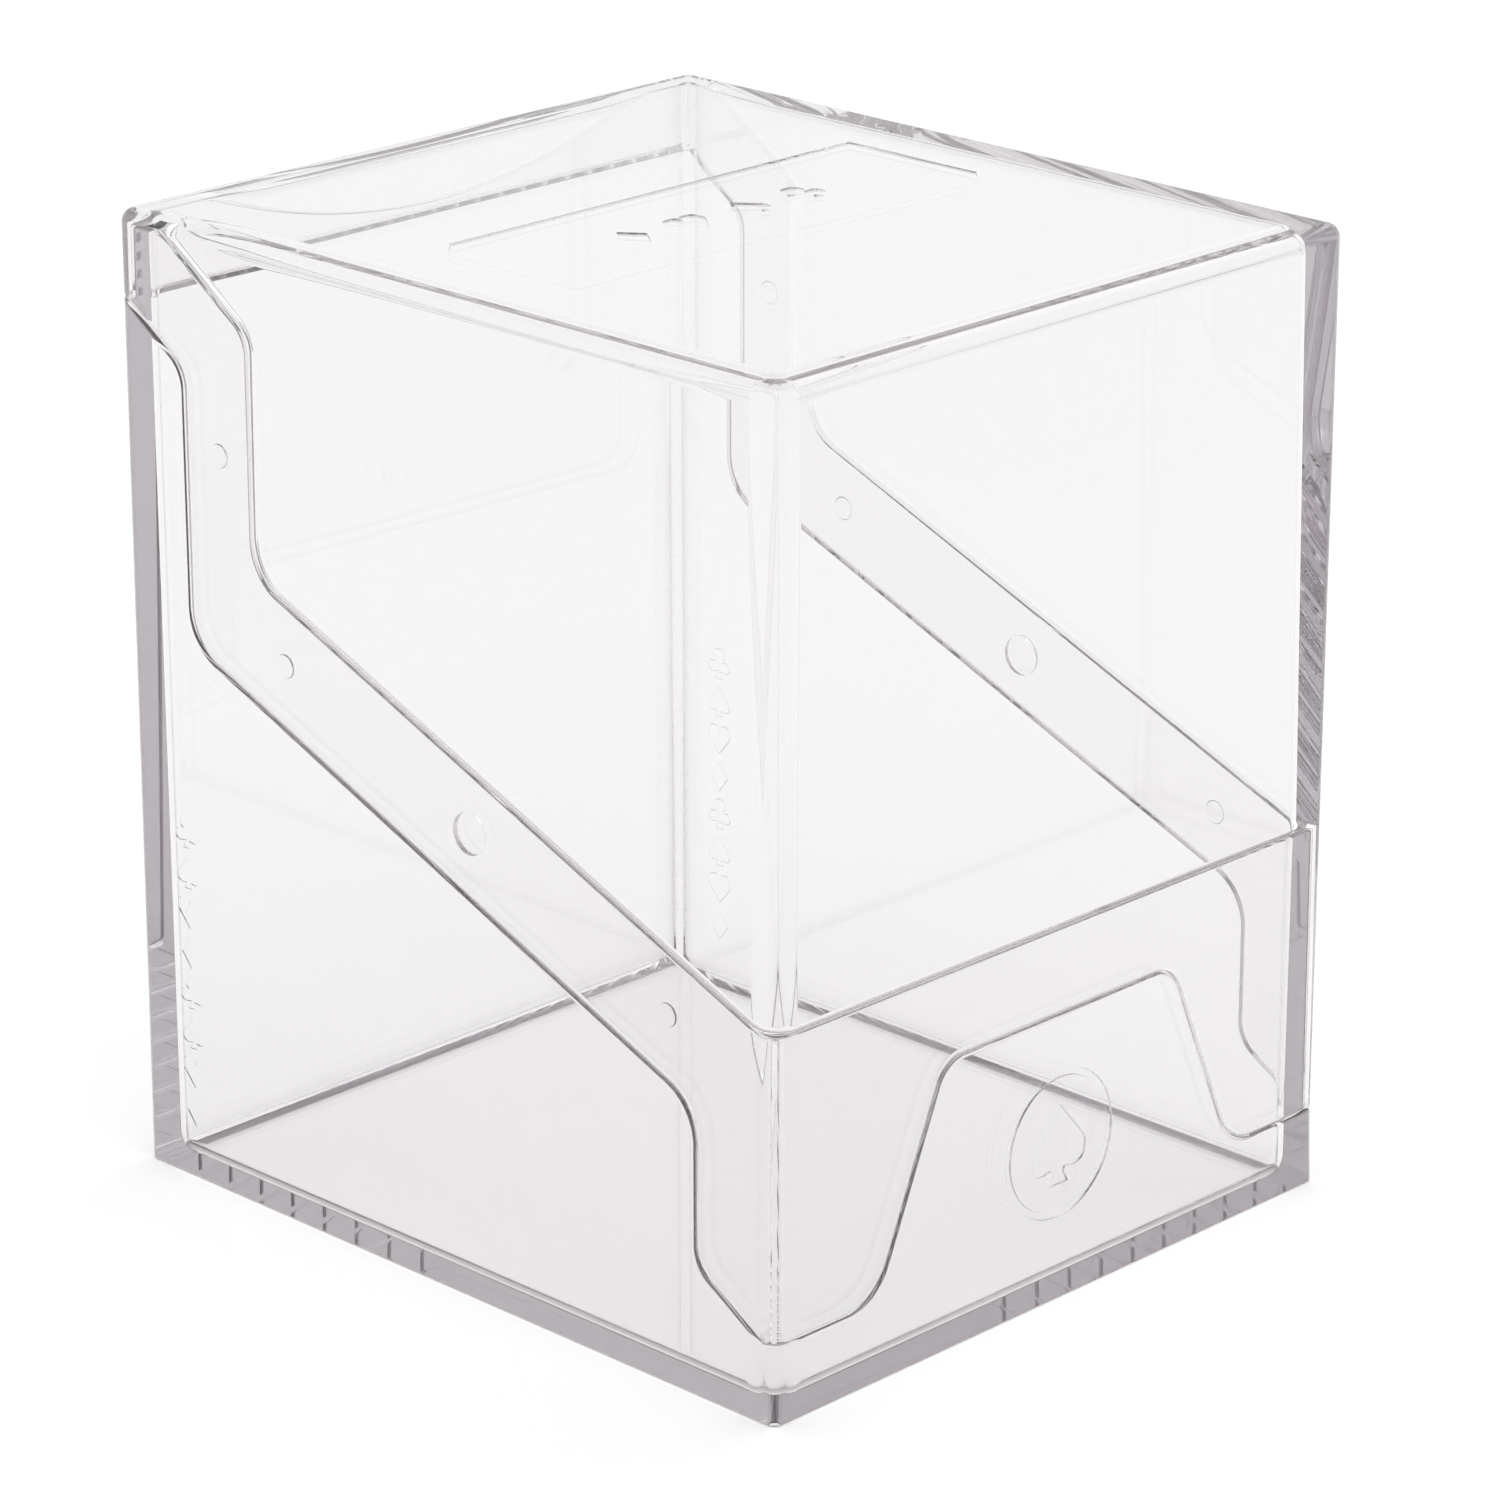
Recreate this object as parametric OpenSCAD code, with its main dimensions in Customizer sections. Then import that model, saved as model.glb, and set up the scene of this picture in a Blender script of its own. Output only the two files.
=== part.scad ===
// Clear card deck box: a base with a rebated lip, and a lid that slides down over the lip.
// Units are millimetres. The origin is at the centre of the underside, +Z is up and the
// front, with the thumb hump, faces -Y.

/* [Outer size] */
// Width across the two side faces
box_w = 81.6; // [76:0.2:90]
// Depth from the front face to the back face
box_d = 92.4; // [88:0.2:100]
// Height with the lid on
box_h = 104; // [102:1:112]
// Radius of the four vertical outer edges
edge_r = 1.6; // [1.4:0.1:2.2]
// Radius of the outer edges around the top
top_r = 1.5; // [0.8:0.1:2]
// Radius of the outer edges around the underside
foot_r = 0.15; // [0.1:0.05:0.8]

/* [Walls] */
// Thickness of the base wall at its foot
wall_foot = 2.65; // [2.6:0.05:3.2]
// Thickness of the base wall and lip at the top, after the mould draft
wall_top = 2.5; // [2.2:0.05:2.6]
// Thickness of the floor
floor_t = 1.4; // [1:0.1:2.5]
// Thickness of the lid's ceiling
ceiling_t = 1.5; // [1.2:0.1:2]
// Thickness of the lid wall over the lip, at the level of the underside
lid_thin_foot = 0.8; // [0.7:0.05:0.9]
// Thickness of the lid wall over the lip, at the top
lid_thin_top = 1.1; // [1:0.05:1.15]
// Thickness of the lid wall above the lip, drawn down to the level of the underside
lid_full_foot = 2; // [1.5:0.05:2.2]
// Thickness of the lid wall above the lip, at the top
lid_full_top = 3.55; // [3:0.05:3.6]
// Radius of the vertical inside corners of the base
inside_r = 2.5; // [1.5:0.1:2.6]
// Radius of the vertical inside corners of the lid
lid_inside_r = 1.8; // [1:0.1:2.2]
// Radius of the vertical corners between the lip and the lid wall
lip_r = 0.3; // [0.2:0.05:0.6]

/* [Fit] */
// Play between the lip and the lid wall, on each side
fit_gap = 0.2; // [0.18:0.01:0.25]
// Play between the lid's rim and the base's shoulder
rim_gap = 0.1; // [0.05:0.01:0.15]

/* [Parting line] */
// Height of the shoulder at the front corners
seam_front_z = 8.45; // [7:0.05:10]
// Distance of the shoulder's front leg from the front face
front_leg_in = 10.7; // [9:0.1:12]
// Height at which the front leg starts
front_leg_low = 13.7; // [13:0.1:15]
// Height at which the front leg ends
front_leg_high = 30.4; // [29:0.1:34]
// Distance of the shoulder's back leg from the back face
back_leg_in = 9.65; // [8.8:0.05:10.5]
// Height at which the back leg starts
back_leg_low = 59.9; // [56:0.1:62]
// Depth of the back leg's end below the top
back_leg_drop = 15.2; // [14.5:0.1:16]
// Depth of the back shoulder below the top
seam_back_drop = 9.1; // [8.6:0.1:9.4]
// Radius of the tight corners of the parting line
tight_r = 4; // [3:0.5:5]
// Radius of the wide corners of the parting line
wide_r = 6; // [5:0.5:7]

/* [Thumb hump] */
// Width of the hump across its foot
hump_foot_w = 53.2; // [46:0.2:58]
// Width of the hump across its top
hump_top_w = 33.8; // [28:0.2:36]
// Height of the hump's top edge
hump_z = 31.1; // [28:0.1:34]

/* [Lip] */
// Height of the lip's edge along the front
lip_front_z = 39.8; // [38:0.1:42]
// Distance of the lip's back leg from the back face
lip_leg_in = 18.5; // [17:0.1:20]
// Height at which the lip's back leg starts
lip_leg_low = 68.9; // [66:0.1:71]
// Depth of the lip leg's end below the top
lip_leg_drop = 10.2; // [9.8:0.1:11]
// Gap between the lip's highest edge and the lid's ceiling
lip_top_gap = 0.3; // [0.25:0.05:0.5]
// Width of the scoop in the back lip
scoop_w = 61; // [50:1:64]
// Depth of the scoop in the back lip
scoop_depth = 6; // [4:0.5:7]

/* [Nubs and pockets] */
// Diameter of the grip nubs on the side lips
nub_d = 2.7; // [2:0.1:3.5]
// How far the grip nubs stand proud of the lip
nub_proud = 0.14; // [0.05:0.01:0.15]
// Diameter of the snap pocket on each side lip
pocket_d = 4.5; // [4:0.1:5]
// Depth of the snap pocket
pocket_depth = 0.5; // [0.2:0.1:0.6]

/* [Engraving] */
// Width of the label panel on top
panel_w = 60; // [50:1:64]
// Depth of the label panel, front to back
panel_d = 21; // [16:1:26]
// Cut across two opposite corners of the label panel
panel_cut = 3; // [1:0.5:5]
// Depth of the label panel, of its marks and of the emblem
engrave = 0.2; // [0.1:0.05:0.3]
// Depth of the suit marks on the side walls
side_engrave = 0.1; // [0.05:0.01:0.2]
// Height of one suit mark in the label panel
top_mark = 5; // [3:0.5:7]
// Height of one suit mark on the side walls
side_mark = 3.6; // [2.5:0.1:4]
// Outer diameter of the ring on the thumb hump
ring_d = 16; // [12:0.5:17]

/* [Hidden] */
$fn = 96;
arc_steps = 12;
corner_steps = 32;
scoop_steps = 24;
scoop_end_r = 12;
over = 1;
thin = 0.01;
plastic = [0.93, 0.92, 0.93, 0.45];

front_y = -box_d / 2;
back_y = box_d / 2;
side_x = box_w / 2;
ceiling_z = box_h - ceiling_t;
lip_top_z = ceiling_z - lip_top_gap;
hump_slab = wall_foot + over;

// Angles of the sloping shoulders, from the horizontal
upper_slope = 34;
lower_slope = 31;

// Right half of each suit, one unit tall, as [x, y, radius] from its lowest point to its highest
diamond = [[0, -0.5, 0.02], [0.38, 0, 0.04], [0, 0.5, 0.02]];
heart = [[0, -0.5, 0.03], [0.48, 0.06, 0.16], [0.46, 0.46, 0.2], [0.05, 0.46, 0.16], [0, 0.26, 0]];
spade = [[0.16, -0.5, 0], [0.06, -0.3, 0.04], [0.44, -0.36, 0.17], [0.46, -0.04, 0.15], [0, 0.5, 0.03]];
club = [
    [0.16, -0.5, 0], [0.05, -0.26, 0.02], [0.46, -0.32, 0.17], [0.5, 0.1, 0.17],
    [0.1, 0.06, 0.02], [0.27, 0.16, 0.1], [0.25, 0.5, 0.19]
];

// Suits along the label panel and, twice over, up each side wall
suits = [diamond, heart, spade, club];
side_suits = [each suits, each suits];
top_pitch = 8;
side_pitch = 4.5;
side_row_y = back_y - 7.8;
side_row_z = 7.4;
panel_y = 1.2;
ring_t = 0.8;
spade_share = 0.55;
ring_z = 17;

// Where the nubs and the pocket stand along the side lip, measured from the middle of the depth
nub_on_diagonal = [22.9, -31.2];
nub_on_leg_z = 80.7;
pocket_y = -3.75;

// ---------------------------------------------------------------- paths with rounded corners

function unit(v) = v / norm(v);
function xy(p) = [p[0], p[1]];

// Arc that rounds the corner p between its neighbours a and b
function corner_arc(a, p, b, r) =
    let (
        u = unit(a - p),
        v = unit(b - p),
        half = acos(u * v) / 2,
        start = p + u * r / tan(half),
        end = p + v * r / tan(half),
        centre = p + unit(u + v) * r / sin(half),
        from = atan2(start[1] - centre[1], start[0] - centre[0]),
        turn = atan2(end[1] - centre[1], end[0] - centre[0]) - from,
        sweep = turn > 180 ? turn - 360 : turn < -180 ? turn + 360 : turn
    )
    [for (i = [0:arc_steps]) let (a = from + sweep * i / arc_steps) centre + r * [cos(a), sin(a)]];

// Corners are [x, y, radius]; a radius of 0 keeps the corner sharp
function rounded(path) =
    let (n = len(path))
    [for (i = [0:n - 1]) each path[i][2] == 0
        ? [xy(path[i])]
        : corner_arc(xy(path[(i + n - 1) % n]), xy(path[i]), xy(path[(i + 1) % n]), path[i][2])];

// Base side of the parting line seen from the side, as (y, z), moved by g towards the lid
function seam_region(g) =
    let (
        low = seam_front_z + g,
        front_leg = front_y + front_leg_in - g,
        back_leg = back_y - back_leg_in - g,
        back_z = box_h - seam_back_drop + g,
        leg_top = box_h - back_leg_drop + g
    )
    rounded([
        [back_y + over, -over, 0],
        [front_y - over, -over, 0],
        [front_y - over, low, 0],
        [front_leg - (front_leg_low - seam_front_z) / tan(lower_slope), low, tight_r],
        [front_leg, front_leg_low + g, tight_r],
        [front_leg, front_leg_high + g, wide_r],
        [back_leg, back_leg_low + g, wide_r],
        [back_leg, leg_top, tight_r],
        [back_leg + (back_z - leg_top) / tan(upper_slope), back_z, 0],
        [back_y + over, back_z, 0]
    ]);

// Space that the lip may fill seen from the side, as (y, z), moved by g towards the lid
function lip_region(g) =
    let (
        leg = back_y - lip_leg_in - g,
        front_z = lip_front_z + g,
        leg_top = box_h - lip_leg_drop + g,
        top_z = lip_top_z + g
    )
    rounded([
        [back_y + over, 0, 0],
        [front_y - over, 0, 0],
        [front_y - over, front_z, 0],
        [front_y + wall_foot, front_z, 0],
        [leg, lip_leg_low + g, wide_r],
        [leg, leg_top, tight_r],
        [leg + (top_z - leg_top) / tan(upper_slope), top_z, tight_r],
        [back_y + over, top_z, 0]
    ]);

// Thumb hump seen from the front, as (x, z), grown by g
function hump_outline(g) =
    rounded([
        [-side_x, 0, 0],
        [-side_x, seam_front_z + g, 0],
        [-hump_foot_w / 2 - g, seam_front_z + g, wide_r],
        [-hump_top_w / 2 - g, hump_z + g, tight_r],
        [hump_top_w / 2 + g, hump_z + g, tight_r],
        [hump_foot_w / 2 + g, seam_front_z + g, wide_r],
        [side_x, seam_front_z + g, 0],
        [side_x, 0, 0]
    ]);

// Height of the middle of the side lip at depth y, on its long diagonal
function lip_middle(y) =
    let (
        seam_from = front_y + front_leg_in,
        seam_to = back_y - back_leg_in,
        seam_z = front_leg_high + (back_leg_low - front_leg_high) * (y - seam_from) / (seam_to - seam_from),
        lip_from = front_y + wall_foot,
        lip_to = back_y - lip_leg_in,
        lip_z = lip_front_z + (lip_leg_low - lip_front_z) * (y - lip_from) / (lip_to - lip_from)
    )
    (seam_z + lip_z) / 2;

// ---------------------------------------------------------------- solids shared by both shells

// Sweeps a (y, z) outline across the width
module across(points, width) {
    rotate([90, 0, 90])
        linear_extrude(width, center = true)
            polygon(points);
}

// Waste outside a rounded corner that lies at the origin and opens to +x, +y
module corner_waste(r) {
    difference() {
        translate([-over, -over])
            square(r + over);
        translate([r, r])
            circle(r);
    }
}

// Rectangle centred on x, from 0 to h, with rounded lower and upper corners
module face_outline(w, h, r_low, r_high) {
    difference() {
        translate([-w / 2, 0])
            square([w, h]);
        for (flip = [0, 1])
            mirror([flip, 0]) {
                translate([-w / 2, 0])
                    corner_waste(r_low);
                translate([-w / 2, h])
                    mirror([0, 1])
                        corner_waste(r_high);
            }
    }
}

module outer_block() {
    intersection() {
        linear_extrude(box_h)
            translate([0, front_y])
                face_outline(box_w, box_d, edge_r, edge_r);
        rotate([90, 0, 0])
            linear_extrude(box_d, center = true)
                face_outline(box_w, box_h, foot_r, top_r);
        rotate([90, 0, 90])
            linear_extrude(box_w, center = true)
                face_outline(box_d, box_h, foot_r, top_r);
    }
}

// Thin slab inset from the outer faces, with rounded corners
module inset_slab(z, inset, r) {
    translate([0, 0, z])
        linear_extrude(thin)
            translate([0, front_y + inset])
                face_outline(box_w - 2 * inset, box_d - 2 * inset, r, r, $fn = corner_steps);
}

// Drafted block between two heights, inset by low_in at the bottom and high_in at the top
module drafted_block(low_z, high_z, low_in, high_in, r) {
    hull() {
        inset_slab(low_z, low_in, r);
        inset_slab(high_z - thin, high_in, r);
    }
}

// ---------------------------------------------------------------- engraved marks

// Outline of a suit of height s, from its right half, which runs from its lowest point to its highest
function suit_outline(half, s) =
    let (
        n = len(half),
        other = [for (i = [n - 1:-1:0]) if (half[i][0] > 0) [-half[i][0], half[i][1], half[i][2]]]
    )
    s * rounded([each half, each other]);

// Recess of the label panel, with two opposite corners cut, and the suits below it
module label_recess() {
    hw = panel_w / 2;
    hd = panel_d / 2;
    translate([0, panel_y, box_h - engrave])
        linear_extrude(engrave + over)
            polygon([
                [-hw, -hd], [hw - panel_cut, -hd], [hw, -hd + panel_cut],
                [hw, hd], [-hw + panel_cut, hd], [-hw, hd - panel_cut]
            ]);
    for (i = [0:len(suits) - 1])
        translate([(i - (len(suits) - 1) / 2) * top_pitch, panel_y, box_h - 2 * engrave])
            linear_extrude(engrave + over)
                polygon(suit_outline(suits[i], top_mark));
}

// Ring with a spade, cut into the front face
module hump_emblem() {
    translate([0, front_y + engrave, ring_z])
        rotate([90, 0, 0])
            linear_extrude(engrave + over) {
                difference() {
                    circle(d = ring_d);
                    circle(d = ring_d - 2 * ring_t);
                }
                polygon(suit_outline(spade, ring_d * spade_share));
            }
}

// Row of suits up one side face, which is at x = -side_x
module side_marks() {
    for (i = [0:len(side_suits) - 1])
        translate([-side_x + side_engrave, side_row_y, side_row_z + i * side_pitch])
            rotate([90, 0, -90])
                linear_extrude(side_engrave + over)
                    polygon(suit_outline(side_suits[i], side_mark));
}

// ---------------------------------------------------------------- the base

// Outer skin of the base, up to the parting line
module base_skin() {
    intersection() {
        outer_block();
        union() {
            across(seam_region(0), box_w + 2 * over);
            translate([0, front_y + hump_slab / 2, 0])
                rotate([90, 0, 0])
                    linear_extrude(hump_slab, center = true)
                        polygon(hump_outline(0));
        }
    }
}

// Waste above the scoop of the back lip, as (x, z): an arc, met at each end by a small rounding
function scoop_waste() =
    let (
        half = scoop_w / 2,
        r = (half * half + scoop_depth * scoop_depth) / (2 * scoop_depth),
        arc_z = lip_top_z - scoop_depth + r,
        end_z = lip_top_z - scoop_end_r,
        end_x = sqrt(pow(r + scoop_end_r, 2) - pow(arc_z - end_z, 2)),
        lean = atan2(end_x, arc_z - end_z),
        right = [
            for (i = [0:scoop_steps]) let (a = lean * i / scoop_steps) [r * sin(a), arc_z - r * cos(a)],
            for (i = [1:arc_steps]) let (a = lean * (1 - i / arc_steps))
                [end_x - scoop_end_r * sin(a), end_z + scoop_end_r * cos(a)]
        ],
        left = [for (i = [len(right) - 1:-1:1]) [-right[i][0], right[i][1]]]
    )
    [each right, [end_x, box_h], [-end_x, box_h], each left];

// Cutter for the scoop, moved up by g
module back_scoop(g = 0) {
    translate([0, back_y, g])
        rotate([90, 0, 0])
            linear_extrude(2 * (lid_full_top + over), center = true)
                polygon(scoop_waste());
}

// Disc on the outer face of the side lip at x < 0, from below its skin out to the given depth
module lip_disc(y, z, d, from_x, to_x) {
    translate([from_x, y, z])
        rotate([0, 90, 0])
            cylinder(h = to_x - from_x, d = d);
}

// Depth of the lip's outer face below the side face, at height z
function lip_face_in(z) = lid_thin_foot + (lid_thin_top - lid_thin_foot) * z / box_h + fit_gap;

module lip() {
    lip_low = lip_face_in(0);
    lip_high = lip_face_in(box_h);
    leg_y = back_y - (back_leg_in + lip_leg_in) / 2;
    difference() {
        intersection() {
            drafted_block(0, box_h, lip_low, lip_high, lip_r);
            across(lip_region(0), box_w + 2 * over);
        }
        back_scoop();
        for (flip = [0, 1])
            mirror([flip, 0, 0])
                lip_disc(pocket_y, lip_middle(pocket_y), pocket_d, -side_x - over,
                    -side_x + lip_face_in(lip_middle(pocket_y)) + pocket_depth);
    }
    for (flip = [0, 1])
        mirror([flip, 0, 0]) {
            for (y = nub_on_diagonal)
                nub(y, lip_middle(y));
            nub(leg_y, nub_on_leg_z);
        }
}

module nub(y, z) {
    face_x = -side_x + lip_face_in(z);
    lip_disc(y, z, nub_d, face_x - nub_proud, face_x + fit_gap);
}

module base() {
    color(plastic)
        difference() {
            union() {
                base_skin();
                lip();
            }
            drafted_block(floor_t, box_h, wall_foot, wall_top, inside_r);
            hump_emblem();
            for (flip = [0, 1])
                mirror([flip, 0, 0])
                    side_marks();
        }
}

// ---------------------------------------------------------------- the lid

// Room for the lip inside the lid; the ledge above it follows the lip's edge and scoop
module lip_room() {
    difference() {
        intersection() {
            drafted_block(-over, ceiling_z, lid_thin_foot, lid_thin_top, lip_r);
            across(lip_region(fit_gap), box_w + 2 * over);
        }
        back_scoop(fit_gap);
    }
}

module lid() {
    color(plastic)
        difference() {
            outer_block();
            across(seam_region(rim_gap), box_w + 4 * over);
            translate([0, front_y + (hump_slab - over) / 2, 0])
                rotate([90, 0, 0])
                    linear_extrude(hump_slab + over, center = true)
                        polygon(hump_outline(rim_gap));
            drafted_block(-over, ceiling_z, lid_full_foot, lid_full_top, lid_inside_r);
            lip_room();
            label_recess();
        }
}

base();
lid();
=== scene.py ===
"""Looks of the clear card deck box: both shells rebuilt as polished clear mouldings on the CAD bodies."""

from math import acos, atan2, cos, hypot, pi, radians, sin, sqrt, tan

import bmesh
import bpy
from mathutils import Matrix, Vector
from mathutils.geometry import delaunay_2d_cdt


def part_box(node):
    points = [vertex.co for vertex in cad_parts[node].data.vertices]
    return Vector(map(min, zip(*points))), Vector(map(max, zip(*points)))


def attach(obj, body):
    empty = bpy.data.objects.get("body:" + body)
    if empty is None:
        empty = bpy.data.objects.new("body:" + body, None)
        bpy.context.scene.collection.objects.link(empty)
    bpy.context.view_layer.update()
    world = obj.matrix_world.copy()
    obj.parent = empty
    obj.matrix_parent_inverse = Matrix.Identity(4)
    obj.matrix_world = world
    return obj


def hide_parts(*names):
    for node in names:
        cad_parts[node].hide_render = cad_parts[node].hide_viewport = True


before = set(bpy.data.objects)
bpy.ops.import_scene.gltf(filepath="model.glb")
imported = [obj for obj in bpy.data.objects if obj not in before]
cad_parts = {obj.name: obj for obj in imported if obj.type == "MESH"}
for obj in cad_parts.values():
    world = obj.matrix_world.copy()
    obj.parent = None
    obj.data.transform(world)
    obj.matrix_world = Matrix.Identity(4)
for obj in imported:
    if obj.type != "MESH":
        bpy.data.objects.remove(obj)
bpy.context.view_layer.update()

MM = 0.001

# ---------------------------------------------------------------- sizes, in metres

HALF_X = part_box("base")[1][0]
HALF_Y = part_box("base")[1][1]
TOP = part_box("lid")[1][2]

EDGE_R = 1.6 * MM           # outer vertical edges
EDGE_FOOT_R = 1.0 * MM      # the same edges where they meet the underside
TOP_R = 1.5 * MM            # outer edges around the top
FOOT_R = 0.15 * MM          # outer edges around the underside
INSIDE_R = 2.5 * MM         # vertical inside corners of the base
LID_INSIDE_R = 1.8 * MM     # vertical inside corners of the lid
LIP_R = 0.3 * MM            # vertical corners of the lip's outer face

WALL_FOOT, WALL_TOP = 2.65 * MM, 2.5 * MM           # base wall, drafted
LID_THIN_FOOT, LID_THIN_TOP = 0.8 * MM, 1.1 * MM    # lid wall where the lip stands behind it
LID_FULL_FOOT, LID_FULL_TOP = 2.0 * MM, 3.55 * MM   # lid wall above the lip
FLOOR_T = 1.4 * MM
CEILING_T = 1.5 * MM
FLOOR_FILLET = 2.0 * MM     # between the base's walls and its floor
COVE = 1.4 * MM             # fillet between the lid's walls and its ceiling
COVE_SHARE = 0.6            # its largest share of the height between the ledge and the ceiling
FIT_GAP = 0.2 * MM          # between the lip and the lid's wall
RIM_GAP = 0.1 * MM          # between the shoulder and the lid's rim
LIP_TOP_GAP = 0.3 * MM      # between the lip's highest edge and the ceiling
SEAM_BEVEL = 0.45 * MM      # outer edge of the base's shoulder
RIM_BEVEL = 0.36 * MM       # both edges of the lid's rim
LIP_BEVEL = 0.26 * MM       # both edges of the lip's top
LEDGE_BEVEL = 0.35 * MM     # inner edge of the lid's ledge
BEVELS_TO_CEILING = 3       # least height from the ledge to the ceiling, in bevels of the ledge
ROOT_FILLET = 0.15 * MM     # between the shoulder and the lip

CEILING_Z = TOP - CEILING_T
LIP_TOP_Z = CEILING_Z - LIP_TOP_GAP

FAINT_R, TIGHT_R, WIDE_R = 1 * MM, 4 * MM, 6 * MM       # corners of the parting line and the lip's edge
UPPER_SLOPE, LOWER_SLOPE = radians(34), radians(31)
SEAM_FRONT_Z = 8.45 * MM
SEAM_BACK_Z = TOP - 9.1 * MM
FRONT_LEG_Y, FRONT_LEG_LOW, FRONT_LEG_HIGH = -HALF_Y + 10.7 * MM, 13.7 * MM, 30.4 * MM
BACK_LEG_Y, BACK_LEG_LOW, BACK_LEG_HIGH = HALF_Y - 9.65 * MM, 59.9 * MM, TOP - 15.2 * MM
HUMP_FOOT_X, HUMP_TOP_X, HUMP_Z = 26.6 * MM, 16.9 * MM, 31.1 * MM
LIP_FRONT_Z = 39.8 * MM
LIP_LEG_Y, LIP_LEG_LOW, LIP_LEG_HIGH = HALF_Y - 18.5 * MM, 68.9 * MM, TOP - 10.2 * MM
SCOOP_X, SCOOP_DEPTH, SCOOP_END_R = 30.5 * MM, 6 * MM, 12 * MM

NUB_R, NUB_PROUD = 1.35 * MM, 0.14 * MM
POCKET_R, POCKET_DEPTH = 2.25 * MM, 0.5 * MM
NUBS_ON_DIAGONAL = (22.9 * MM, -31.2 * MM)
NUB_ON_LEG_Z = 80.7 * MM
POCKET_Y = -3.75 * MM

ENGRAVE, SIDE_ENGRAVE, ENGRAVE_RUN = 0.2 * MM, 0.1 * MM, 0.06 * MM
PANEL_X, PANEL_Y, PANEL_CUT, PANEL_MIDDLE = 30 * MM, 10.5 * MM, 3 * MM, 1.2 * MM
TOP_MARK, TOP_PITCH = 5 * MM, 8 * MM
SIDE_MARK, SIDE_PITCH, SIDE_ROW_Y, SIDE_ROW_Z = 3.6 * MM, 4.5 * MM, HALF_Y - 7.8 * MM, 7.4 * MM
SIDE_ROUNDS = 2             # times the suits repeat in a side's row
RING_R, RING_T, RING_Z = 8 * MM, 0.8 * MM, 17 * MM
RING_SPADE = 8.8 * MM

CORNER_STEPS = 16
ARC_STEPS = 14
BEVEL_STEPS = 4
CIRCLE_STEPS = 48
SUIT_STEPS = 6
SLOPE_PROFILE = ((0.0, 0.0), (0.35, 0.12), (0.75, 0.55), (1.0, 1.0))    # a recess's side, as (across, down)
LONGEST_MITRE = 2.0         # how far an inset corner may move, in insets
FLATTEST_MITRE = 0.2        # cosine below which a corner counts as a hairpin
KNEE = 8 * MM               # how far from a face the samples of a wall start to close up
OUTERMOST_END = 1.6 * MM    # distance of the last wall sample from the face beside it
SAME_POINT = 1e-7           # samples nearer than this share a vertex
FILL_TOLERANCE = 1e-6       # in millimetres, for the triangles of a flat surface
FILL_HULL = 0               # the triangulation's mode that fills the convex hull

BODY_TINT = (0.955, 0.951, 0.954)       # clear plastic
DEPTH_TINT, DEPTH_DENSITY = (0.921, 0.914, 0.919), 100.0
PLASTIC_IOR = 1.5
POLISH, POLISH_SCALE, POLISH_DETAIL = (0.0, 0.012), 40.0, 3.0
FLOOR_DARK, FLOOR_LIGHT, FLOOR_MOTTLE = (0.96, 0.96, 0.96), (0.98, 0.98, 0.98), 6.0
FLOOR_ROUGHNESS = 0.9
FLOOR_HALF, FLOOR_DROP = 3.0, 0.05 * MM
HORIZON_COLOUR, ZENITH_COLOUR, WORLD_STRENGTH = (0.94, 0.937, 0.94), (1.05, 1.047, 1.05), 1.0
LIGHT_BOUNCES = 64
SOFTBOXES = (("softbox_right", 90, 45), ("softbox_key", -20, 62))      # name, azimuth, elevation
SOFTBOX_DISTANCE, SOFTBOX_SIZE, SOFTBOX_POWER = 1.2, 0.7, 1.0

MIDDLE = Vector((0, 0, TOP / 2))
CAMERA_AZIMUTH, CAMERA_ELEVATION, CAMERA_ROLL = -45.669, 20.016, -0.014
CAMERA_DISTANCE, CAMERA_LENS, CAMERA_SENSOR = 607.8 * MM, 141.8, 36.0
AIM_RIGHT, AIM_UP = 2.21 * MM, -4.63 * MM

# Right half of each suit, one unit tall, as (x, y, radius) from its lowest point to its highest
DIAMOND = [(0, -0.5, 0.02), (0.38, 0, 0.04), (0, 0.5, 0.02)]
HEART = [(0, -0.5, 0.03), (0.48, 0.06, 0.16), (0.46, 0.46, 0.2), (0.05, 0.46, 0.16), (0, 0.26, 0)]
SPADE = [(0.16, -0.5, 0), (0.06, -0.3, 0.04), (0.44, -0.36, 0.17), (0.46, -0.04, 0.15), (0, 0.5, 0.03)]
CLUB = [(0.16, -0.5, 0), (0.05, -0.26, 0.02), (0.46, -0.32, 0.17), (0.5, 0.1, 0.17),
        (0.1, 0.06, 0.02), (0.27, 0.16, 0.1), (0.25, 0.5, 0.19)]
SUITS = (DIAMOND, HEART, SPADE, CLUB)


# ---------------------------------------------------------------- outlines

def corner_arc(before, corner, after, r, steps):
    """Points of the arc that rounds a corner between its two neighbours."""
    a, p, b = Vector(before), Vector(corner), Vector(after)
    u, v = (a - p).normalized(), (b - p).normalized()
    half = acos(max(-1.0, min(1.0, u.dot(v)))) / 2
    start, end = p + u * (r / tan(half)), p + v * (r / tan(half))
    centre = p + (u + v).normalized() * (r / sin(half))
    from_angle = atan2(start.y - centre.y, start.x - centre.x)
    turn = atan2(end.y - centre.y, end.x - centre.x) - from_angle
    turn = (turn + pi) % (2 * pi) - pi
    angles = [from_angle + turn * i / steps for i in range(steps + 1)]
    return [(centre.x + r * cos(angle), centre.y + r * sin(angle)) for angle in angles]


def rounded(path, steps=ARC_STEPS, closed=False):
    """Outline through corners given as (x, y, radius)."""
    points = []
    for i, (x, y, r) in enumerate(path):
        if r and (closed or 0 < i < len(path) - 1):
            before, after = path[i - 1], path[(i + 1) % len(path)]
            points += corner_arc(before[:2], (x, y), after[:2], r, steps)
        else:
            points.append((x, y))
    return points


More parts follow.
